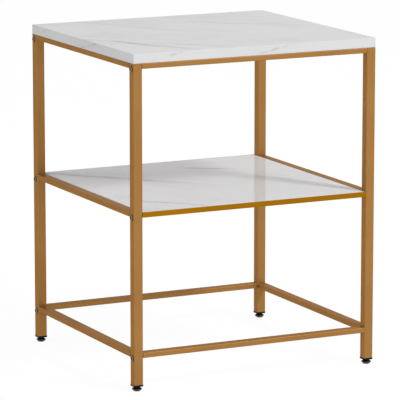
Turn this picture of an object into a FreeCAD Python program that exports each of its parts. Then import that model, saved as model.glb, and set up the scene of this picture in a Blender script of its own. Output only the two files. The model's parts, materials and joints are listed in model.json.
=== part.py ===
import FreeCAD, Part
import math
import os

# End table with a shelf. Two side frames of square legs and flat tube rails are joined by cross rails
# that hook into the legs and are drawn tight by bolts from outside. A thick top lies on the frame, a
# thin shelf lies in two angle rails, and the table stands on screw feet.
# Millimetres. +X is to the right, the front faces -Y and +Z is up. The origin is on the floor, under
# the middle of the table.

Vector = FreeCAD.Vector
X_AXIS = Vector(1, 0, 0)
Y_AXIS = Vector(0, 1, 0)
Z_AXIS = Vector(0, 0, 1)

# Table
width = 500.0
depth = 460.0
height = 625.0
overrun = 1.0  # how far every cut runs past the face it opens

# Top board
top_thickness = 18.0
top_corner = 2.0
top_edge = 1.0

# Legs
leg_size = 18.0
leg_wall = 1.2
leg_corner = 2.0

# Rails: the upper side of each level, and the flat tube they are cut from
shelf_level = 334.0
bottom_level = 72.0
rail_height = 10.0
rail_wall = 1.2
rail_corner = 1.5

# Shelf angles and shelf board
angle_wall = 1.5
angle_corner = 1.0
shelf_side_gap = 1.2
shelf_slack = 0.3
shelf_edge = 0.5

# Hooks in the ends of the cross rails
hook_cover = 0.6  # how far the rail's end hides the slot above and below
hook_play = 0.3
hook_margin = 3.0  # from the leg's sides to the hook's
hook_neck_share = 0.45  # of the hook's height
lip_thickness = 5.0
plug_length = 22.0
plug_slack = 0.1

# Frame bolts
bolt_diameter = 5.0
bolt_slack = 0.25
bolt_shortfall = 0.5
bolt_head_margin = 3.0  # bare leg left on each side of a head
bolt_head_height = 3.0
bolt_head_rim = 0.7
bolt_socket_flats = 4.0
bolt_socket_depth = 1.8
thread_clearance = 0.1

# Screws into the boards
top_screw_diameter = 4.0
top_screw_bite = 12.0
top_screw_head = 8.0
top_screw_head_height = 2.4
top_screw_access = 9.5
shelf_screw_diameter = 3.5
shelf_screw_bite = 5.5
shelf_screw_head = 7.0
shelf_screw_head_height = 1.8
screw_slack = 0.1
screw_place_share = 0.3  # of the rail's length, each way from its middle
screw_rim_share = 0.3  # of the head's height
screw_tip_share = 0.6  # of the screw's diameter
screw_tip_flat_share = 0.1  # of the screw's radius
recess_length_share = 0.55  # of the head's diameter
recess_width_share = 0.14
recess_depth_share = 0.6  # of the head's height

# Leg end caps and their nuts
cap_flange = 3.0
cap_overhang = 0.5
cap_plug = 16.0
cap_slack = 0.1
nut_flats = 10.0
nut_height = 5.0
nut_slack = 0.05

# Screw feet, from the floor upwards
foot_travel = 10.0
pad_diameter = 20.2  # across the belt's corner, before it is rounded
pad_base_diameter = 12.5
pad_belt_height = 4.2
pad_belt_round = 1.5
pad_height = 7.2
pad_neck_diameter = 11.0
pad_floor = 1.6
seat_diameter = 8.0
seat_height = 2.2
seat_gap = 0.1
running_clearance = 0.08
stud_diameter = 6.0
stud_bore_slack = 0.4
stud_spare = 1.0
stud_point = 0.8
collar_gap = 0.2
collar_flats = 10.0
collar_height = 1.4
stop_gap = 0.2

# Places that follow from the sizes
half_width = width / 2
half_depth = depth / 2
inner_x = half_width - leg_size
inner_y = half_depth - leg_size
leg_centre_x = half_width - leg_size / 2
leg_centre_y = half_depth - leg_size / 2
leg_top = height - top_thickness
collar_bottom = pad_height + collar_gap
cap_bottom = collar_bottom + collar_height + stop_gap
leg_bottom = cap_bottom + cap_flange
LEVELS = {"top": leg_top, "shelf": shelf_level, "bottom": bottom_level}
SIDES = {"left": -1, "right": 1}
ENDS = {"front": -1, "rear": 1}

hook_width = leg_size - 2 * hook_margin
hook_height = rail_height - 2 * hook_cover - hook_play
hook_neck_height = hook_height * hook_neck_share


def rail_bottom(level):
    return LEVELS[level] - rail_height


def hook_neck_bottom(level):
    return rail_bottom(level) + hook_cover


def hook_lip_top(level):
    return hook_neck_bottom(level) + hook_neck_height


def bolt_level(level):
    return hook_lip_top(level) - hook_height / 2


def block(xs, ys, zs):
    low = Vector(min(xs), min(ys), min(zs))
    size = Vector(max(xs), max(ys), max(zs)) - low
    return Part.makeBox(size.x, size.y, size.z, low)


def about(centre, size):
    return (centre - size / 2, centre + size / 2)


def along(edge, axis):
    return abs(edge.tangentAt(edge.FirstParameter).dot(axis)) > 0.99


def rounded(solid, axis, radius):
    return solid.makeFillet(radius, [edge for edge in solid.Edges if along(edge, axis)])


def tube(xs, ys, zs, axis, wall, corner):
    outer = block(xs, ys, zs)
    box = outer.BoundBox
    inset = (Vector(1, 1, 1) - axis) * wall - axis * overrun
    low = Vector(box.XMin, box.YMin, box.ZMin) + inset
    high = Vector(box.XMax, box.YMax, box.ZMax) - inset
    bore = block((low.x, high.x), (low.y, high.y), (low.z, high.z))
    return rounded(outer, axis, corner).cut(bore)


def hexagon(flats, base, length):
    reach = flats / math.sqrt(3)
    turns = [math.radians(60 * step) for step in range(7)]
    corners = [base + Vector(math.cos(turn), math.sin(turn), 0) * reach for turn in turns]
    return Part.Face(Part.makePolygon(corners)).extrude(Z_AXIS * length)


def line(start, end):
    return Part.LineSegment(start, end).toShape()


def rounded_corner(before, corner, after, radius):
    """The arc that rounds the corner between two straight sides of an outline."""
    back = (before - corner).normalize()
    ahead = (after - corner).normalize()
    half_angle = back.getAngle(ahead) / 2
    reach = radius / math.tan(half_angle)
    inset = radius / math.sin(half_angle) - radius
    middle = corner + (back + ahead).normalize() * inset
    return Part.Arc(corner + back * reach, middle, corner + ahead * reach).toShape()


def turned(edges):
    return Part.Face(Part.Wire(edges)).revolve(Vector(), Z_AXIS, 360)


def domed_head(diameter, tall, rim):
    """A round head that stands on the plane of its origin, with a low dome above its rim."""
    radius = diameter / 2
    rise = tall - rim
    sphere = (radius**2 + rise**2) / (2 * rise)
    middle = Vector(radius / 2, 0, math.sqrt(sphere**2 - (radius / 2) ** 2) - sphere + tall)
    foot = Vector(radius, 0, 0)
    shoulder = Vector(radius, 0, rim)
    crown = Vector(0, 0, tall)
    dome = Part.Arc(shoulder, middle, crown).toShape()
    return turned([line(Vector(), foot), line(foot, shoulder), dome, line(crown, Vector())])


def placed(shape, position, direction):
    shape = shape.copy()
    shape.Placement = FreeCAD.Placement(position, FreeCAD.Rotation(Z_AXIS, direction))
    return shape


def wood_screw(diameter, length, head, head_height):
    """A pan-head screw whose head bears on the plane of its origin and whose point is below it."""
    radius = diameter / 2
    tip = diameter * screw_tip_share
    shank = Part.makeCylinder(radius, length - tip, Vector(), -Z_AXIS)
    tip_flat = radius * screw_tip_flat_share
    point = Part.makeCone(radius, tip_flat, tip, Z_AXIS * (tip - length), -Z_AXIS)
    solid = domed_head(head, head_height, head_height * screw_rim_share).fuse([shank, point])
    recess = about(0, head * recess_length_share)
    groove = about(0, head * recess_width_share)
    floor = (head_height * (1 - recess_depth_share), head_height + overrun)
    return solid.removeSplitter().cut([block(recess, groove, floor), block(groove, recess, floor)])


def top_screw_places():
    x_place = 2 * inner_x * screw_place_share
    y_place = 2 * inner_y * screw_place_share
    for sign in (-1, 1):
        for place in (-1, 1):
            yield Vector(place * x_place, sign * leg_centre_y, leg_top)
            yield Vector(sign * leg_centre_x, place * y_place, leg_top)


def shelf_screw_places(end):
    x_place = 2 * inner_x * screw_place_share
    return [Vector(x, end * leg_centre_y, rail_bottom("shelf")) for x in (-x_place, x_place)]


def top_board():
    solid = block((-half_width, half_width), (-half_depth, half_depth), (leg_top, height))
    solid = rounded(solid, Z_AXIS, top_corner)
    flat = [edge for edge in solid.Edges if edge.BoundBox.ZLength < edge.Length / 2]
    solid = solid.makeFillet(top_edge, flat)
    radius = top_screw_diameter / 2 + screw_slack
    bite = top_screw_bite + screw_slack
    pilots = [Part.makeCylinder(radius, bite, place) for place in top_screw_places()]
    return solid.cut(pilots)


def leg(side, end):
    x_outer, x_inner = side * half_width, side * inner_x
    y_centre = end * leg_centre_y
    ys = (end * half_depth, end * inner_y)
    solid = tube((x_outer, x_inner), ys, (leg_bottom, leg_top), Z_AXIS, leg_wall, leg_corner)
    slot_x = (x_inner - side * overrun, x_inner + side * (leg_wall + overrun))
    slot_y = about(y_centre, hook_width + 2 * hook_play)
    for level in LEVELS:
        slot_z = (hook_neck_bottom(level), LEVELS[level] - hook_cover)
        start = Vector(x_outer + side * overrun, y_centre, bolt_level(level))
        radius = bolt_diameter / 2 + bolt_slack
        hole = Part.makeCylinder(radius, leg_wall + 2 * overrun, start, X_AXIS * -side)
        solid = solid.cut([block(slot_x, slot_y, slot_z), hole])
    return solid


def drilled_for_top(rail):
    """Cut the clearance hole in a top rail's upper wall and the driver's hole in its lower wall."""
    box = rail.BoundBox
    radius = top_screw_diameter / 2 + bolt_slack
    down = rail_wall + 2 * overrun
    for place in top_screw_places():
        if box.isInside(Vector(place.x, place.y, box.Center.z)):
            upper = Part.makeCylinder(radius, down, place + Z_AXIS * overrun, -Z_AXIS)
            below = place - Z_AXIS * (rail_height + overrun)
            lower = Part.makeCylinder(top_screw_access / 2, down, below)
            rail = rail.cut([upper, lower])
    return rail


def side_rail(side, level):
    xs = (side * half_width, side * inner_x)
    zs = (rail_bottom(level), LEVELS[level])
    rail = tube(xs, (-inner_y, inner_y), zs, Y_AXIS, rail_wall, rail_corner)
    return drilled_for_top(rail) if level == "top" else rail


def cross_rail(end, level):
    ys = (end * half_depth, end * inner_y)
    zs = (rail_bottom(level), LEVELS[level])
    rail = tube((-inner_x, inner_x), ys, zs, X_AXIS, rail_wall, rail_corner)
    return drilled_for_top(rail) if level == "top" else rail


def shelf_angle(end):
    xs = (-inner_x, inner_x)
    floor = rail_bottom("shelf")
    outer = end * half_depth
    solid = block(xs, (outer, end * inner_y), (floor, shelf_level))
    hollow_x = (-inner_x - overrun, inner_x + overrun)
    hollow_y = (outer - end * angle_wall, end * (inner_y - overrun))
    solid = solid.cut(block(hollow_x, hollow_y, (floor + angle_wall, shelf_level + overrun)))
    corner = [
        edge
        for edge in solid.Edges
        if along(edge, X_AXIS)
        and math.isclose(edge.CenterOfMass.y, outer)
        and math.isclose(edge.CenterOfMass.z, floor)
    ]
    solid = solid.makeFillet(angle_corner, corner)
    radius = shelf_screw_diameter / 2 + bolt_slack
    reach = angle_wall + 2 * overrun
    for place in shelf_screw_places(end):
        solid = solid.cut(Part.makeCylinder(radius, reach, place - Z_AXIS * overrun))
    return solid


def shelf_board():
    end_x = inner_x - shelf_side_gap
    end_y = half_depth - angle_wall - shelf_slack
    underside = rail_bottom("shelf") + angle_wall
    solid = block((-end_x, end_x), (-end_y, end_y), (underside, shelf_level))
    upper = [edge for edge in solid.Edges if math.isclose(edge.BoundBox.ZMin, shelf_level)]
    solid = solid.makeFillet(shelf_edge, upper)
    pocket_z = (underside - overrun, hook_lip_top("shelf") + hook_play)
    radius = shelf_screw_diameter / 2 + screw_slack
    bite = shelf_screw_bite + screw_slack
    for end in ENDS.values():
        pocket_y = about(end * leg_centre_y, hook_width + 2 * hook_play)
        for side in SIDES.values():
            pocket_x = (side * (inner_x + overrun), side * (inner_x - plug_length - hook_play))
            solid = solid.cut(block(pocket_x, pocket_y, pocket_z))
        for place in shelf_screw_places(end):
            solid = solid.cut(Part.makeCylinder(radius, bite, place + Z_AXIS * angle_wall))
    return solid


def hook(side, end, level):
    """A hook whose root is held in a rail's end and whose lip hangs inside the leg."""
    rail_end = side * inner_x
    lip_near = rail_end + side * (leg_wall + hook_play)
    lip_far = lip_near + side * lip_thickness
    y_centre = end * leg_centre_y
    ys = about(y_centre, hook_width)
    top = hook_lip_top(level)
    neck = block((rail_end, lip_near), ys, (hook_neck_bottom(level), top))
    lip = block((lip_near, lip_far), ys, (top - hook_height, top))
    root_x = (rail_end, rail_end - side * plug_length)
    if level == "shelf":
        root = block(root_x, ys, (rail_bottom(level) + angle_wall, top))
    else:
        inset = rail_wall + plug_slack
        root_y = about(y_centre, leg_size - 2 * inset)
        root = block(root_x, root_y, (rail_bottom(level) + inset, LEVELS[level] - inset))
    start = Vector(lip_near, y_centre, bolt_level(level))
    radius = bolt_diameter / 2 + thread_clearance
    thread = Part.makeCylinder(radius, lip_thickness + overrun, start, X_AXIS * side)
    return root.fuse([neck, lip]).removeSplitter().cut(thread)


def frame_bolt(side, end, level):
    length = leg_size - leg_wall - hook_play - bolt_shortfall
    head = domed_head(leg_size - 2 * bolt_head_margin, bolt_head_height, bolt_head_rim)
    shank = Part.makeCylinder(bolt_diameter / 2, length, Vector(), -Z_AXIS)
    floor = Z_AXIS * (bolt_head_height - bolt_socket_depth)
    socket = hexagon(bolt_socket_flats, floor, bolt_socket_depth + overrun)
    solid = head.fuse(shank).removeSplitter().cut(socket)
    position = Vector(side * half_width, end * leg_centre_y, bolt_level(level))
    return placed(solid, position, X_AXIS * side)


def top_screws():
    bearing = Z_AXIS * -rail_wall
    length = rail_wall + top_screw_bite
    screw = wood_screw(top_screw_diameter, length, top_screw_head, top_screw_head_height)
    return [placed(screw, place + bearing, -Z_AXIS) for place in top_screw_places()]


def shelf_screws():
    length = angle_wall + shelf_screw_bite
    screw = wood_screw(shelf_screw_diameter, length, shelf_screw_head, shelf_screw_head_height)
    places = [place for end in ENDS.values() for place in shelf_screw_places(end)]
    return [placed(screw, place, -Z_AXIS) for place in places]


def leg_cap(centre):
    flange_size = leg_size + 2 * cap_overhang
    xs, ys = about(centre.x, flange_size), about(centre.y, flange_size)
    flange = block(xs, ys, (cap_bottom, leg_bottom))
    flange = rounded(flange, Z_AXIS, leg_corner + cap_overhang)
    plug_size = leg_size - 2 * leg_wall - 2 * cap_slack
    plug_x, plug_y = about(centre.x, plug_size), about(centre.y, plug_size)
    plug = block(plug_x, plug_y, (leg_bottom, leg_bottom + cap_plug))
    base = centre + Z_AXIS * cap_bottom
    bore = Part.makeCylinder(
        stud_diameter / 2 + stud_bore_slack, cap_flange + cap_plug + overrun, base
    )
    pocket = hexagon(nut_flats + 2 * nut_slack, base - Z_AXIS * overrun, nut_height + overrun)
    return flange.fuse(plug).removeSplitter().cut([bore, pocket])


def cap_nut(centre):
    base = centre + Z_AXIS * cap_bottom
    bore = Part.makeCylinder(stud_diameter / 2 + thread_clearance, nut_height, base)
    return hexagon(nut_flats, base, nut_height).cut(bore)


def foot_pad(centre):
    base = Vector(pad_base_diameter / 2, 0, 0)
    corner = Vector(pad_diameter / 2, 0, pad_belt_height)
    neck = Vector(pad_neck_diameter / 2, 0, pad_height)
    crown = Vector(0, 0, pad_height)
    belt = rounded_corner(base, corner, neck, pad_belt_round)
    belt_start, belt_end = (vertex.Point for vertex in belt.Vertexes)
    lower = [line(Vector(), base), line(base, belt_start), belt]
    upper = [line(belt_end, neck), line(neck, crown), line(crown, Vector())]
    floor = Z_AXIS * pad_floor
    room = seat_height + 2 * seat_gap
    seat = Part.makeCylinder(seat_diameter / 2 + running_clearance, room, floor)
    mouth = Part.makeCylinder(stud_diameter / 2 + running_clearance, pad_height, floor)
    return placed(turned(lower + upper).cut([seat, mouth]), centre, Z_AXIS)


def foot_stud(centre):
    seat_base = Z_AXIS * (pad_floor + seat_gap)
    top = cap_bottom + nut_height + foot_travel + stud_spare
    radius = stud_diameter / 2
    seat = Part.makeCylinder(seat_diameter / 2, seat_height, seat_base)
    shaft_length = top - stud_point - seat_base.z
    shaft = Part.makeCylinder(radius, shaft_length, seat_base)
    point = Part.makeCone(radius, radius - stud_point, stud_point, Z_AXIS * (top - stud_point))
    collar = hexagon(collar_flats, Z_AXIS * collar_bottom, collar_height)
    return placed(shaft.fuse([seat, collar, point]).removeSplitter(), centre, Z_AXIS)


def save(name, *solids):
    shape = solids[0] if len(solids) == 1 else Part.makeCompound(list(solids))
    shape.exportStep(f"parts/{name}.step")


def main():
    os.makedirs("parts", exist_ok=True)
    save("top_board", top_board())
    save("shelf_board", shelf_board())
    save("top_screws", *top_screws())
    save("shelf_screws", *shelf_screws())

    leg_centres = []
    for end_name, end in ENDS.items():
        for level in ("top", "bottom"):
            save(f"{end_name}_{level}_rail", cross_rail(end, level))
        save(f"{end_name}_shelf_angle", shelf_angle(end))
        for side_name, side in SIDES.items():
            corner = f"{end_name}_{side_name}"
            centre = Vector(side * leg_centre_x, end * leg_centre_y, 0)
            leg_centres.append(centre)
            save(f"{corner}_leg", leg(side, end))
            save(f"{corner}_leg_cap", leg_cap(centre))
            save(f"{corner}_foot_pad", foot_pad(centre))
            save(f"{corner}_foot_stud", foot_stud(centre))
    save("cap_nuts", *[cap_nut(centre) for centre in leg_centres])

    for side_name, side in SIDES.items():
        for level in LEVELS:
            save(f"{side_name}_{level}_rail", side_rail(side, level))
        bolts = [frame_bolt(side, end, level) for end in ENDS.values() for level in LEVELS]
        save(f"{side_name}_frame_bolts", *bolts)

    corners = [(side, end) for side in SIDES.values() for end in ENDS.values()]
    tube_hooks = [hook(*corner, level) for corner in corners for level in ("top", "bottom")]
    save("rail_hooks", *tube_hooks)
    save("shelf_hooks", *[hook(*corner, "shelf") for corner in corners])


main()
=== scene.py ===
"""Looks of the end table: gold powder coat, marble-look boards, bronze bolts and black screw feet."""

import json
import math

import bmesh
import bpy
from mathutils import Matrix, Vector


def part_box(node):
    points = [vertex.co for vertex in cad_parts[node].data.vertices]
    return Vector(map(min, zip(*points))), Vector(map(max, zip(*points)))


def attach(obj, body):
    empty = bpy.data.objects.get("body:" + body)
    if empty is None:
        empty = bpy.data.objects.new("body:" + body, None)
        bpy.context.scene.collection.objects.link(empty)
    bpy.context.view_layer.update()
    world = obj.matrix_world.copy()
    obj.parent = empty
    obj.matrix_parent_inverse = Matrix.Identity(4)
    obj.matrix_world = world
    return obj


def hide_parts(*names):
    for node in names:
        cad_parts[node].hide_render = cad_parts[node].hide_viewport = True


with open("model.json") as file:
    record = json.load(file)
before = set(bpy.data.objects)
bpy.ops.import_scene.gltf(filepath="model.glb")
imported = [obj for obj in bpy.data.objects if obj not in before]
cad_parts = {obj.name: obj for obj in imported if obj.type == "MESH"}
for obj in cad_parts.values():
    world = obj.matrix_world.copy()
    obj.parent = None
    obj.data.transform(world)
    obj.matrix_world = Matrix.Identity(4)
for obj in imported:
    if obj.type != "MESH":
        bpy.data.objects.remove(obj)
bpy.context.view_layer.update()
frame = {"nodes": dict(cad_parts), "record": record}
nodes = frame["nodes"]

MM = 0.001
WHITE = (1, 1, 1, 1)
CORNERS = [f"{end}_{side}" for end in ("front", "rear") for side in ("left", "right")]

# Camera: a long lens from the front left, a little above the top
CAMERA_PLACE = (-2.5949, -5.2489, 1.4037)
CAMERA_PITCH = 10.686
CAMERA_TURN = 26.284
CAMERA_LENS = 279.98
CAMERA_SENSOR = 36

# Light: an even room, a key from the front right, a wide panel low in front and a small one at the left
ROOM_LIGHT = 0.575
AIM = (0, 0, 0.35)
KEY_PLACE = (2.34, -4.0, 4.13)
KEY_SIZE = 0.8
KEY_POWER = 118
FRONT_PANEL_PLACE = (0.4, -6.2, 0.55)
FRONT_PANEL_SIZE = 3.2
FRONT_PANEL_POWER = 31
LEFT_PANEL_PLACE = (-5.8, -1.2, 1.35)
LEFT_PANEL_SIZE = 1.2
LEFT_PANEL_POWER = 25

# Floor: clear white to the eye, with this share of its shade kept
FLOOR_SIZE = 12
FLOOR_COLOUR = 0.8
FLOOR_SHADE_SHARE = 0.08
FLOOR_GLOW = 0.022

# In all finishes a grain is its count in each metre, its levels of detail and the strength of the finer
# levels. Roughness is given as its lowest and highest value, and grain heights are in millimetres.
GRAIN_RANGE = (0.3, 0.7)  # where nearly all of a grain's values lie
METAL_GRAIN_HEIGHT = 0.02
PLASTIC_GRAIN_HEIGHT = 0.02

# Gold powder coat of the frame, and amber lacquer of the shelf angles
GOLD = (0.426, 0.212, 0.064)
GOLD_DEEP = (0.386, 0.188, 0.054)
GOLD_RIM = (0.35, 0.28, 0.20)  # tint of the sheen
GOLD_ROUGHNESS = (0.30, 0.42)
GOLD_SPECULAR = 0.022
GOLD_METALLIC = 0.36
AMBER = (0.358, 0.149, 0.0026)
AMBER_DEEP = (0.328, 0.136, 0.0022)
AMBER_RIM = (0.9, 0.8, 0.6)
AMBER_ROUGHNESS = (0.22, 0.32)
AMBER_SPECULAR = 0.5
AMBER_METALLIC = 1.0
COAT_CLOUDS = (14, 3, 0.5)
COAT_PEEL = (700, 2, 0.5)
COAT_GRAIN = (2600, 1, 0.5)
COAT_COARSE_SHARE = 0.7  # of the clouds or the peel, beside the fine grain
COAT_FINE_SHARE = 0.3
COAT_TONE_RANGE = (0.36, 0.64)
COAT_PEEL_HEIGHT = 0.05

# Marble foil: white ground, soft clouds and grey veins. Lengths in millimetres
TOP_WHITE = (0.80, 0.80, 0.81)
TOP_CLOUD = (0.765, 0.765, 0.775)
TOP_ROUGHNESS = 0.36
TOP_SPECULAR = 0.03
SHELF_WHITE = (0.87, 0.87, 0.88)
SHELF_CLOUD = (0.84, 0.84, 0.85)
SHELF_ROUGHNESS = 0.05
SHELF_SPECULAR = 0.016
FOIL_ROUGHNESS_SHARES = (0.9, 1.1)  # of a foil's roughness, from its smooth to its dull places
FOIL_GRAIN = (900, 2, 0.5)
FOIL_GRAIN_HEIGHT = 0.01
FOIL_GRAIN_STRENGTH = 0.5
MARBLE_VEIN = (0.40, 0.40, 0.405)
MARBLE_CLOUDS = (7, 4, 0.55)
CLOUD_RANGE = (0.4, 0.65)
BACKING_PAPER = (0.66, 0.65, 0.63)
UNDERSIDE_SLOPES = (-0.7, -0.5)  # of the upward share of a face's normal: paper below it, foil above
EDGE_SLOPES = (0.3, 0.7)  # of the same share, up or down: a board's edge below it, its flat side above
VEIN_REACH = 340.0  # half of the boards' diagonal
VEIN_SWAY = 9.0
VEIN_SWAY_GRAIN = (22, 2, 0.5)
VEIN_TREMBLE = 2.5
VEIN_TREMBLE_GRAIN = (110, 3, 0.6)
VEIN_BREAKS = (34, 4, 0.6)
VEIN_BREAK_RANGE = (0.3, 0.6)
VEIN_BREAK_STRENGTH = 0.55  # left of a vein where it is broken
VEIN_FALL = 1.5  # how steeply a vein fades beside its crest
CORE_SHARE = 0.18  # of a vein's width, taken by the dark line in it
CORE_STRENGTH = 0.35
HAIRLINES = (5, 4, 0.6)  # counted in the veins' own reach
HAIRLINE_STRETCH = 3
HAIRLINE_SHARPNESS = 70
HAIRLINE_STRENGTH = 0.16
HAIRLINE_CLOUD_RANGE = (0.45, 0.6)

# The foil on a board's edges has its own faint veins, which lean to the left as they go down
EDGE_VEIN_START = -145.0
EDGE_VEIN_SPACING = 222.0
EDGE_VEIN_LEAN = 4.6  # along the edge for each millimetre down
EDGE_VEIN_HALF_WIDTH = 1.8
EDGE_VEIN_STRENGTH = 0.5
EDGE_VEIN_BREAK_RANGE = (0.42, 0.62)

# Veins run from the rear left to the front right; on the shelf one broad band at the rear left is
# painted shade. Each has its half width in millimetres, then its
# points: place from the table's middle along X and Y in millimetres, and strength from 0 to 1.
TOP_VEINS = [
    (6.5, [(-258, -8, 0.7), (-215, -42, 0.9), (-190, -95, 0.95), (-170, -140, 0.65), (-152, -165, 0.5),
           (-125, -210, 0.3), (-110, -240, 0)]),
    (4.5, [(-160, -105, 0), (-142, -127, 0.4), (-105, -157, 0.45), (-77, -185, 0.4),
           (-45, -235, 0.15)]),
    (5.5, [(-170, 235, 0.25), (-135, 190, 0.35), (-115, 155, 0.25), (-95, 122, 0.15), (-65, 70, 0.3),
           (-45, 37, 0.25), (-12, 3, 0)]),
    (5.0, [(10, 160, 0), (30, 141, 0.45), (60, 115, 0.35), (95, 80, 0.4), (140, 47, 0.25),
           (190, 18, 0.2), (230, -35, 0)]),
    (6.0, [(140, -120, 0), (165, -178, 0.2), (190, -225, 0.1), (196, -240, 0)]),
]
SHELF_VEINS_AND_SHADE = [
    (9.0, [(-235, 222, 0.5), (-192, 178, 0.65), (-164, 146, 0.65), (-133, 118, 0.6), (-70, 43, 0.4),
           (-33, 10, 0.3), (15, -45, 0)]),
    # a broad grey band at the rear left: painted shade, deepening the top board's shadow there
    (55.0, [(-262, 215, 0.26), (-190, 190, 0.26), (-110, 140, 0.14), (-20, 60, 0)]),
    (5.0, [(-25, 185, 0), (-5, 174, 0.2), (38, 150, 0.65), (62, 133, 0.85), (105, 106, 0.35),
           (140, 84, 0)]),
    (5.0, [(-205, -115, 0), (-183, -135, 0.5), (-150, -163, 0.6), (-117, -196, 0.5), (-90, -235, 0.2)]),
    (16.0, [(118, 15, 0), (143, -16, 0.25), (167, -60, 0.45), (192, -105, 0.5), (210, -145, 0.55),
            (238, -196, 0.55)]),
]

# Frame bolts: bronze, with painted shade on the crown, in its socket and round the rim, where shade and
# the rim's shadow fall, which leaves a bronze ring between. Slopes are the share of a face's normal
# that lies along the bolt
BRONZE = (0.24, 0.165, 0.085)
BRONZE_WORN = (0.29, 0.205, 0.11)
BRONZE_PAINTED_SHADE = (0.030, 0.018, 0.006)
BRONZE_ROUGHNESS = (0.30, 0.42)
BRONZE_WEAR = (900, 3, 0.5)
WEAR_SLOPE = 0.04  # how far the wear noise moves the borders of the painted shade
RIM_SLOPE = 0.81
RING_OUTER_SLOPE = 0.85
RING_INNER_SLOPE = 0.91
CROWN_SLOPE = 0.94

# Zinc-plated screws and nuts, and the feet's black steel
ZINC = (0.66, 0.66, 0.67)
ZINC_DULL = (0.50, 0.50, 0.51)
ZINC_ROUGHNESS = (0.28, 0.42)
ZINC_SPANGLE = (600, 3, 0.5)
BLACK_STEEL = (0.07, 0.07, 0.072)
BLACK_STEEL_DULL = (0.03, 0.03, 0.032)
BLACK_STEEL_ROUGHNESS = (0.3, 0.45)
BLACK_STEEL_OIL = (500, 3, 0.5)

# Black plastic of the leg caps and, glossier, of the foot pads
PLASTIC = (0.008, 0.008, 0.009)
PLASTIC_DEEP = (0.004, 0.004, 0.0045)
PLASTIC_GRAIN = (1500, 2, 0.5)
PLASTIC_FLOW = (120, 2, 0.5)
CAP_ROUGHNESS = (0.3, 0.4)
CAP_SPECULAR = 0.08
PAD_ROUGHNESS = (0.14, 0.2)
PAD_SPECULAR = 0.45

# Studs of the screw feet, in millimetres from the floor up: a seat in the pad, a hexagon collar, thread
STUD_RADIUS = 3.0
STUD_POINT = 0.8
SEAT_RADIUS = 4.0
SEAT_TOP = 3.9
COLLAR_BOTTOM = 7.4
COLLAR_TOP = 8.8
COLLAR_SIDES = 6
COLLAR_FLATS = 10.0
COLLAR_BEVEL = 0.3
THREAD_PITCH = 1.0
THREAD_DEPTH = 0.5
THREAD_STEPS = 8  # rings in each turn of the thread
STUD_SIDES = 36
STUD_WELD_REACH = 0.002  # points closer than this are one
STUD_SHARP_ANGLE = 35  # degrees, from which an edge isn't smoothed over


class Shade:
    """One output in a tree of shader nodes. Sums, products and powers of it add Math nodes there."""

    def __init__(self, tree, socket=None):
        self.tree = tree
        self.socket = socket

    def node(self, kind, settings=None, inputs=None, output=0):
        """Add a node of a type, with its settings and then the values or links of its sockets."""
        made = self.tree.nodes.new(f"ShaderNode{kind}")
        for name, value in (settings or {}).items():
            if name == "points":
                set_points(made.mapping, value)
            else:
                setattr(made, name, value)
        for name, value in (inputs or {}).items():
            if isinstance(value, Shade):
                self.tree.links.new(value.socket, made.inputs[name])
            else:
                made.inputs[name].default_value = value
        return Shade(self.tree, made.outputs[output] if made.outputs else None)

    def output(self, name):
        """Another output of the same node."""
        return Shade(self.tree, self.socket.node.outputs[name])

    def math(self, operation, *operands):
        return self.node("Math", {"operation": operation}, dict(enumerate(operands)))

    def __add__(self, other):
        return self.math("ADD", self, other)

    def __sub__(self, other):
        return self.math("SUBTRACT", self, other)

    def __rsub__(self, other):
        return self.math("SUBTRACT", other, self)

    def __mul__(self, other):
        return self.math("MULTIPLY", self, other)

    def __truediv__(self, other):
        return self.math("DIVIDE", self, other)

    def __rtruediv__(self, other):
        return self.math("DIVIDE", other, self)

    def __pow__(self, other):
        return self.math("POWER", self, other)

    __radd__ = __add__
    __rmul__ = __mul__


def set_points(mapping, points):
    """Lay the first curve of a curve node through its points."""
    curve = mapping.curves[0]
    while len(curve.points) < len(points):
        curve.points.new(1, 1)
    for point, place in zip(curve.points, points):
        point.location = place
        point.handle_type = "AUTO_CLAMPED"
    mapping.update()


def new_material(name):
    material = bpy.data.materials.new(name)
    material.use_nodes = True
    material.node_tree.nodes.clear()
    return material, Shade(material.node_tree)


def surface(tree, **sockets):
    """Close a material with one Principled shader, whose sockets are given by their names."""
    inputs = {}
    for name, value in sockets.items():
        inputs[name.replace("_", " ").title().replace("Ior", "IOR")] = value
    shader = tree.node("BsdfPrincipled", inputs=inputs)
    tree.node("OutputMaterial", inputs={"Surface": shader})


def noise(tree, place, grain):
    """Noise from 0 to 1 with a grain's count, detail and strength of detail."""
    count, detail, roughness = grain
    inputs = {"Vector": place, "Scale": count, "Detail": detail, "Roughness": roughness}
    return tree.node("TexNoise", inputs=inputs)


def socket_colour(colour):
    """A colour as a socket takes it: with its alpha, or the link that it comes by."""
    return (*colour, 1) if isinstance(colour, tuple) else colour


def mixed(tree, factor, first, second):
    """Colour between two colours."""
    inputs = {"Factor": factor, 6: socket_colour(first), 7: socket_colour(second)}
    return tree.node("Mix", {"data_type": "RGBA"}, inputs, output=2)


def bump(tree, height, distance, strength=1.0):
    return tree.node("Bump", inputs={"Height": height, "Distance": distance, "Strength": strength})


def spread(tree, value, bounds, to_low=0.0, to_high=1.0):
    """Map a value from its bounds to another range, held at both ends."""
    low, high = bounds
    inputs = {"Value": value, "From Min": low, "From Max": high, "To Min": to_low, "To Max": to_high}
    return tree.node("MapRange", inputs=inputs)


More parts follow.
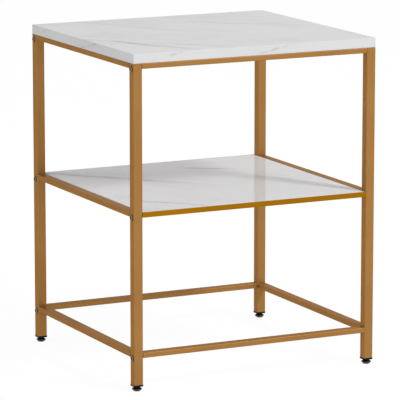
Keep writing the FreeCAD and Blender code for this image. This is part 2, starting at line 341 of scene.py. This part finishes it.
def powder_coat(name, light, deep, roughness, specular, metallic, rim):
    material, tree = new_material(name)
    place = tree.node("TexCoord", output="Object")
    cloud = noise(tree, place, COAT_CLOUDS)
    peel = noise(tree, place, COAT_PEEL)
    grain = noise(tree, place, COAT_GRAIN)
    fine = grain * COAT_FINE_SHARE
    tone = spread(tree, cloud * COAT_COARSE_SHARE + fine, COAT_TONE_RANGE)
    surface(
        tree,
        base_color=mixed(tree, tone, deep, light),
        metallic=metallic,
        specular_tint=(*rim, 1),
        roughness=spread(tree, peel, GRAIN_RANGE, *roughness),
        specular_ior_level=specular,
        normal=bump(tree, peel * COAT_COARSE_SHARE + fine, COAT_PEEL_HEIGHT * MM),
    )
    return material


def vein_fade(off):
    """What divides a vein's strength beside its crest, where off is counted in half widths."""
    return (1 + off * off) ** VEIN_FALL


def vein_mask(tree, along, across, half_width, points):
    """Strength of one vein: a crest along its points, with soft flanks."""
    root = math.sqrt(2)
    diagonals = [((x - y) / root, (x + y) / root, strength) for x, y, strength in points]
    crest = [(0.5 + u / VEIN_REACH / 2, 0.5 + v / VEIN_REACH / 2) for u, v, _ in diagonals]
    power = [(0.5 + u / VEIN_REACH / 2, strength) for u, _, strength in diagonals]
    centre = tree.node("FloatCurve", {"points": crest}, {"Value": along})
    strength = tree.node("FloatCurve", {"points": power}, {"Value": along})
    off = (across - centre) * (2 * VEIN_REACH / half_width)
    core = off / CORE_SHARE
    return strength / vein_fade(off) + strength * CORE_STRENGTH / vein_fade(core)


def axes_of(tree, output):
    """X, Y and Z of an output of the texture coordinates."""
    first = tree.node("SeparateXYZ", inputs={"Vector": tree.node("TexCoord", output=output)})
    return first, first.output("Y"), first.output("Z")


def edge_veins(tree, x, y, drop, facing_x, facing_y, drift):
    """Veins of the foil on the upright edges, which go round the board to the right."""
    along = y * facing_x - x * facing_y + drop * EDGE_VEIN_LEAN + drift * EDGE_VEIN_LEAN
    turns = (along - EDGE_VEIN_START) / EDGE_VEIN_SPACING + 0.5
    sideways = (tree.math("FLOORED_MODULO", turns, 1.0) - 0.5) * EDGE_VEIN_SPACING
    off = sideways / (EDGE_VEIN_HALF_WIDTH * math.hypot(1, EDGE_VEIN_LEAN))
    return EDGE_VEIN_STRENGTH / vein_fade(off)


def marble(name, veins, white, cloudy, top_level, roughness, specular):
    """Marble-look foil on a board's upper side and edges, and plain backing paper underneath."""
    material, tree = new_material(name)
    place = tree.node("TexCoord", output="Object")
    sway = noise(tree, place, VEIN_SWAY_GRAIN)
    tremble = noise(tree, place, VEIN_TREMBLE_GRAIN)
    broken = noise(tree, place, VEIN_BREAKS)
    cloud = noise(tree, place, MARBLE_CLOUDS)
    x, y, z = (axis / MM for axis in axes_of(tree, "Object"))
    facing_x, facing_y, facing_up = axes_of(tree, "Normal")
    drift = (sway - 0.5) * VEIN_SWAY + (tremble - 0.5) * VEIN_TREMBLE
    along = (x - y) / (2 * VEIN_REACH * math.sqrt(2)) + 0.5
    across = ((x + y) / math.sqrt(2) + drift) / (2 * VEIN_REACH) + 0.5
    masks = [vein_mask(tree, along, across, *vein) for vein in veins]
    stretched = tree.node("CombineXYZ", inputs={0: along, 1: across * HAIRLINE_STRETCH})
    web = (noise(tree, stretched, HAIRLINES) - 0.5) * HAIRLINE_SHARPNESS
    hairlines = HAIRLINE_STRENGTH / (1 + web * web) * spread(tree, cloud, HAIRLINE_CLOUD_RANGE)
    whole = spread(tree, broken, VEIN_BREAK_RANGE, VEIN_BREAK_STRENGTH)
    upper = sum(masks[1:], masks[0]) * whole + hairlines
    sides = edge_veins(tree, x, y, top_level / MM - z, facing_x, facing_y, drift)
    sides = sides * spread(tree, broken, EDGE_VEIN_BREAK_RANGE)
    on_edge = spread(tree, tree.math("ABSOLUTE", facing_up), EDGE_SLOPES, 1.0, 0.0)
    veined = sides * on_edge + upper * (1 - on_edge)
    ground = mixed(tree, spread(tree, cloud, CLOUD_RANGE), white, cloudy)
    foil = mixed(tree, tree.math("MINIMUM", veined, 1.0), ground, MARBLE_VEIN)
    underneath = spread(tree, facing_up, UNDERSIDE_SLOPES, 1.0, 0.0)
    colour = mixed(tree, underneath, foil, mixed(tree, cloud, BACKING_PAPER, cloudy))
    grain = noise(tree, place, FOIL_GRAIN)
    uneven = [roughness * share for share in FOIL_ROUGHNESS_SHARES]
    surface(
        tree,
        base_color=colour,
        roughness=spread(tree, tremble, GRAIN_RANGE, *uneven),
        specular_ior_level=specular,
        normal=bump(tree, grain, FOIL_GRAIN_HEIGHT * MM, FOIL_GRAIN_STRENGTH),
    )
    return material


def bronze_with_painted_shade():
    material, tree = new_material("bronze_with_painted_shade")
    place = tree.node("TexCoord", output="Object")
    worn = noise(tree, place, BRONZE_WEAR)
    slope = tree.math("ABSOLUTE", axes_of(tree, "Normal")[0]) + (worn - 0.5) * WEAR_SLOPE
    # painted shade: dark on the crown, in the socket and round the rim, where shade and the rim's
    # shadow fall; the bronze keeps its colour only in the ring between
    bronze_ring = spread(tree, slope, (RIM_SLOPE, RING_OUTER_SLOPE))
    bronze_ring = bronze_ring * spread(tree, slope, (RING_INNER_SLOPE, CROWN_SLOPE), 1.0, 0.0)
    surface(
        tree,
        base_color=mixed(tree, bronze_ring, BRONZE_PAINTED_SHADE, mixed(tree, worn, BRONZE, BRONZE_WORN)),
        metallic=1.0,
        roughness=spread(tree, worn, GRAIN_RANGE, *BRONZE_ROUGHNESS),
        normal=bump(tree, worn, METAL_GRAIN_HEIGHT * MM),
    )
    return material


def plain_metal(name, dull, bright, grain, roughness):
    """Metal whose colour, gloss and fine relief all follow one grain."""
    material, tree = new_material(name)
    place = tree.node("TexCoord", output="Object")
    spangle = noise(tree, place, grain)
    surface(
        tree,
        base_color=mixed(tree, spangle, dull, bright),
        metallic=1.0,
        roughness=spread(tree, spangle, GRAIN_RANGE, *roughness),
        normal=bump(tree, spangle, METAL_GRAIN_HEIGHT * MM),
    )
    return material


def black_plastic(name, roughness, specular):
    material, tree = new_material(name)
    place = tree.node("TexCoord", output="Object")
    grain = noise(tree, place, PLASTIC_GRAIN)
    flow = noise(tree, place, PLASTIC_FLOW)
    surface(
        tree,
        base_color=mixed(tree, flow, PLASTIC_DEEP, PLASTIC),
        roughness=spread(tree, grain, GRAIN_RANGE, *roughness),
        specular_ior_level=specular,
        normal=bump(tree, grain, PLASTIC_GRAIN_HEIGHT * MM),
    )
    return material


def hexagon_radius(turn):
    """Reach of the collar's hexagon at a share of a full turn, with a corner at 0."""
    return COLLAR_FLATS / 2 / math.cos(math.tau * (turn * COLLAR_SIDES % 1 - 0.5) / COLLAR_SIDES)


def thread_radius(step, height, end):
    """Reach of the thread on one of its rings. It runs out at the collar and is turned to a point."""
    groove = THREAD_DEPTH * abs(2 * (step / THREAD_STEPS % 1) - 1)
    run_out = min(1, (height - COLLAR_TOP) / THREAD_PITCH)
    return min(STUD_RADIUS - groove * run_out, STUD_RADIUS - max(0, height - (end - STUD_POINT)))


def stud_rings(start, end):
    """Rings of (radius, height) pairs from the seat up, all with the same count of sides."""
    turns = [side / STUD_SIDES for side in range(STUD_SIDES + 1)]
    bevelled = COLLAR_FLATS / 2 + COLLAR_BEVEL / 2
    seat = [(SEAT_RADIUS, start), (SEAT_RADIUS, SEAT_TOP)]
    neck = [(STUD_RADIUS, SEAT_TOP), (STUD_RADIUS, COLLAR_BOTTOM)]
    rings = [[(radius, height) for _ in turns] for radius, height in seat + neck]
    for height, capped in ((COLLAR_BOTTOM, True), (COLLAR_BOTTOM + COLLAR_BEVEL, False),
                           (COLLAR_TOP - COLLAR_BEVEL, False), (COLLAR_TOP, True)):
        reach = [hexagon_radius(turn) for turn in turns]
        rings.append([(min(radius, bevelled) if capped else radius, height) for radius in reach])
    rings.append([(STUD_RADIUS, COLLAR_TOP) for _ in turns])
    steps = math.ceil((end - COLLAR_TOP) / THREAD_PITCH * THREAD_STEPS)
    for step in range(1 - THREAD_STEPS, steps + 1):
        heights = [COLLAR_TOP + (step / THREAD_STEPS + turn) * THREAD_PITCH for turn in turns]
        heights = [min(max(height, COLLAR_TOP), end) for height in heights]
        rings.append([(thread_radius(step, height, end), height) for height in heights])
    return rings


def threaded_stud(corner, material):
    low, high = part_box(f"{corner}_foot_stud")
    centre = (low + high) / 2
    shape = bmesh.new()
    rows = []
    for ring in stud_rings(low.z / MM, high.z / MM):
        row = []
        for side, (radius, height) in enumerate(ring):
            angle = math.tau * side / STUD_SIDES
            x = centre.x + radius * MM * math.cos(angle)
            row.append(shape.verts.new((x, centre.y + radius * MM * math.sin(angle), height * MM)))
        rows.append(row)
    for lower, upper in zip(rows, rows[1:]):
        for side in range(STUD_SIDES):
            shape.faces.new((lower[side], lower[side + 1], upper[side + 1], upper[side]))
    bmesh.ops.remove_doubles(shape, verts=shape.verts, dist=STUD_WELD_REACH * MM)
    bmesh.ops.holes_fill(shape, edges=shape.edges, sides=0)
    bmesh.ops.recalc_face_normals(shape, faces=shape.faces)
    for face in shape.faces:
        face.smooth = True
    for edge in shape.edges:
        edge.smooth = edge.calc_face_angle(0) < math.radians(STUD_SHARP_ANGLE)
    mesh = bpy.data.meshes.new(f"{corner}_threaded_stud")
    shape.to_mesh(mesh)
    shape.free()
    stud = bpy.data.objects.new(f"{corner}_threaded_stud", mesh)
    bpy.context.collection.objects.link(stud)
    paint(stud, material)
    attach(stud, f"{corner}_stud")
    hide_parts(f"{corner}_foot_stud")


def paint(piece, material):
    piece.data.materials.clear()
    piece.data.materials.append(material)


def seen_by_eye(tree):
    """1 for rays that show the backdrop: from the camera, by reflection or through glass."""
    path = tree.node("LightPath")
    rays = [path.output(name) for name in ("Is Camera Ray", "Is Glossy Ray", "Is Transmission Ray")]
    return tree.math("MAXIMUM", tree.math("MAXIMUM", rays[0], rays[1]), rays[2])


def light_room():
    world = bpy.data.worlds.new("room")
    world.use_nodes = True
    world.node_tree.nodes.clear()
    bpy.context.scene.world = world
    tree = Shade(world.node_tree)
    room = tree.node("Background", inputs={"Strength": ROOM_LIGHT, "Color": WHITE})
    backdrop = tree.node("Background", inputs={"Strength": 1.0, "Color": WHITE})
    shown = tree.node("MixShader", inputs={0: seen_by_eye(tree), 1: room, 2: backdrop})
    tree.node("OutputWorld", inputs={"Surface": shown})


def softbox(name, place, size, power):
    light = bpy.data.lights.new(name, "AREA")
    light.shape = "SQUARE"
    light.size = size
    light.energy = power
    lamp = bpy.data.objects.new(name, light)
    lamp.visible_camera = False
    lamp.location = place
    lamp.rotation_euler = (Vector(AIM) - Vector(place)).to_track_quat("-Z", "Y").to_euler()
    bpy.context.collection.objects.link(lamp)


def lay_floor():
    mesh = bpy.data.meshes.new("floor")
    shape = bmesh.new()
    bmesh.ops.create_grid(shape, size=FLOOR_SIZE / 2)
    shape.to_mesh(mesh)
    shape.free()
    floor = bpy.data.objects.new("floor", mesh)
    bpy.context.collection.objects.link(floor)
    material, tree = new_material("floor_white")
    plain = tree.node("BsdfDiffuse", inputs={"Color": (FLOOR_COLOUR,) * 3 + (1,)})
    clear = tree.node("BsdfTransparent")
    shaded = tree.node("BsdfDiffuse", inputs={"Color": WHITE})
    glow = tree.node("Emission", inputs={"Strength": FLOOR_GLOW})
    faint = tree.node("MixShader", inputs={0: FLOOR_SHADE_SHARE, 1: clear, 2: shaded})
    white = tree.node("AddShader", inputs={0: faint, 1: glow})
    shown = tree.node("MixShader", inputs={0: seen_by_eye(tree), 1: plain, 2: white})
    tree.node("OutputMaterial", inputs={"Surface": shown})
    paint(floor, material)


def set_camera():
    lens = bpy.data.cameras.new("camera")
    lens.lens = CAMERA_LENS
    lens.sensor_width = CAMERA_SENSOR
    camera = bpy.data.objects.new("camera", lens)
    camera.location = CAMERA_PLACE
    camera.rotation_euler = (math.radians(90 - CAMERA_PITCH), 0, math.radians(-CAMERA_TURN))
    bpy.context.collection.objects.link(camera)
    bpy.context.scene.camera = camera


def marble_top():
    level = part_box("top_board")[1].z
    return marble("marble_top", TOP_VEINS, TOP_WHITE, TOP_CLOUD, level, TOP_ROUGHNESS, TOP_SPECULAR)


def marble_shelf():
    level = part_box("shelf_board")[1].z
    return marble(
        "marble_shelf", SHELF_VEINS_AND_SHADE, SHELF_WHITE, SHELF_CLOUD, level, SHELF_ROUGHNESS, SHELF_SPECULAR
    )


def gold_coat():
    return powder_coat(
        "gold_powder_coat", GOLD, GOLD_DEEP, GOLD_ROUGHNESS, GOLD_SPECULAR, GOLD_METALLIC, GOLD_RIM
    )


def amber_lacquer():
    return powder_coat(
        "amber_lacquer", AMBER, AMBER_DEEP, AMBER_ROUGHNESS, AMBER_SPECULAR, AMBER_METALLIC, AMBER_RIM
    )


def zinc_plate():
    return plain_metal("zinc_plate", ZINC_DULL, ZINC, ZINC_SPANGLE, ZINC_ROUGHNESS)


def black_steel():
    return plain_metal(
        "black_steel", BLACK_STEEL_DULL, BLACK_STEEL, BLACK_STEEL_OIL, BLACK_STEEL_ROUGHNESS
    )


def dress():
    """Give every solid the finish of its slot, then the feet their glossy pads and threaded studs."""
    finishes = {
        "marble_top": marble_top(),
        "marble_shelf": marble_shelf(),
        "gold_frame": gold_coat(),
        "gold_shelf_edge": amber_lacquer(),
        "bolt_steel": bronze_with_painted_shade(),
        "plain_steel": zinc_plate(),
        "black_plastic": black_plastic("black_cap_plastic", CAP_ROUGHNESS, CAP_SPECULAR),
        "black_steel": black_steel(),
    }
    for part in frame["record"]["subparts"]:
        paint(nodes[part["node"]], finishes[part["material_slot"]])
    glossy_black = black_plastic("black_pad_plastic", PAD_ROUGHNESS, PAD_SPECULAR)
    for corner in CORNERS:
        paint(nodes[f"{corner}_foot_pad"], glossy_black)
        threaded_stud(corner, finishes["black_steel"])


bpy.context.scene.view_settings.view_transform = "Standard"
set_camera()
light_room()
softbox("key", KEY_PLACE, KEY_SIZE, KEY_POWER)
softbox("front_panel", FRONT_PANEL_PLACE, FRONT_PANEL_SIZE, FRONT_PANEL_POWER)
softbox("left_panel", LEFT_PANEL_PLACE, LEFT_PANEL_SIZE, LEFT_PANEL_POWER)
lay_floor()
dress()
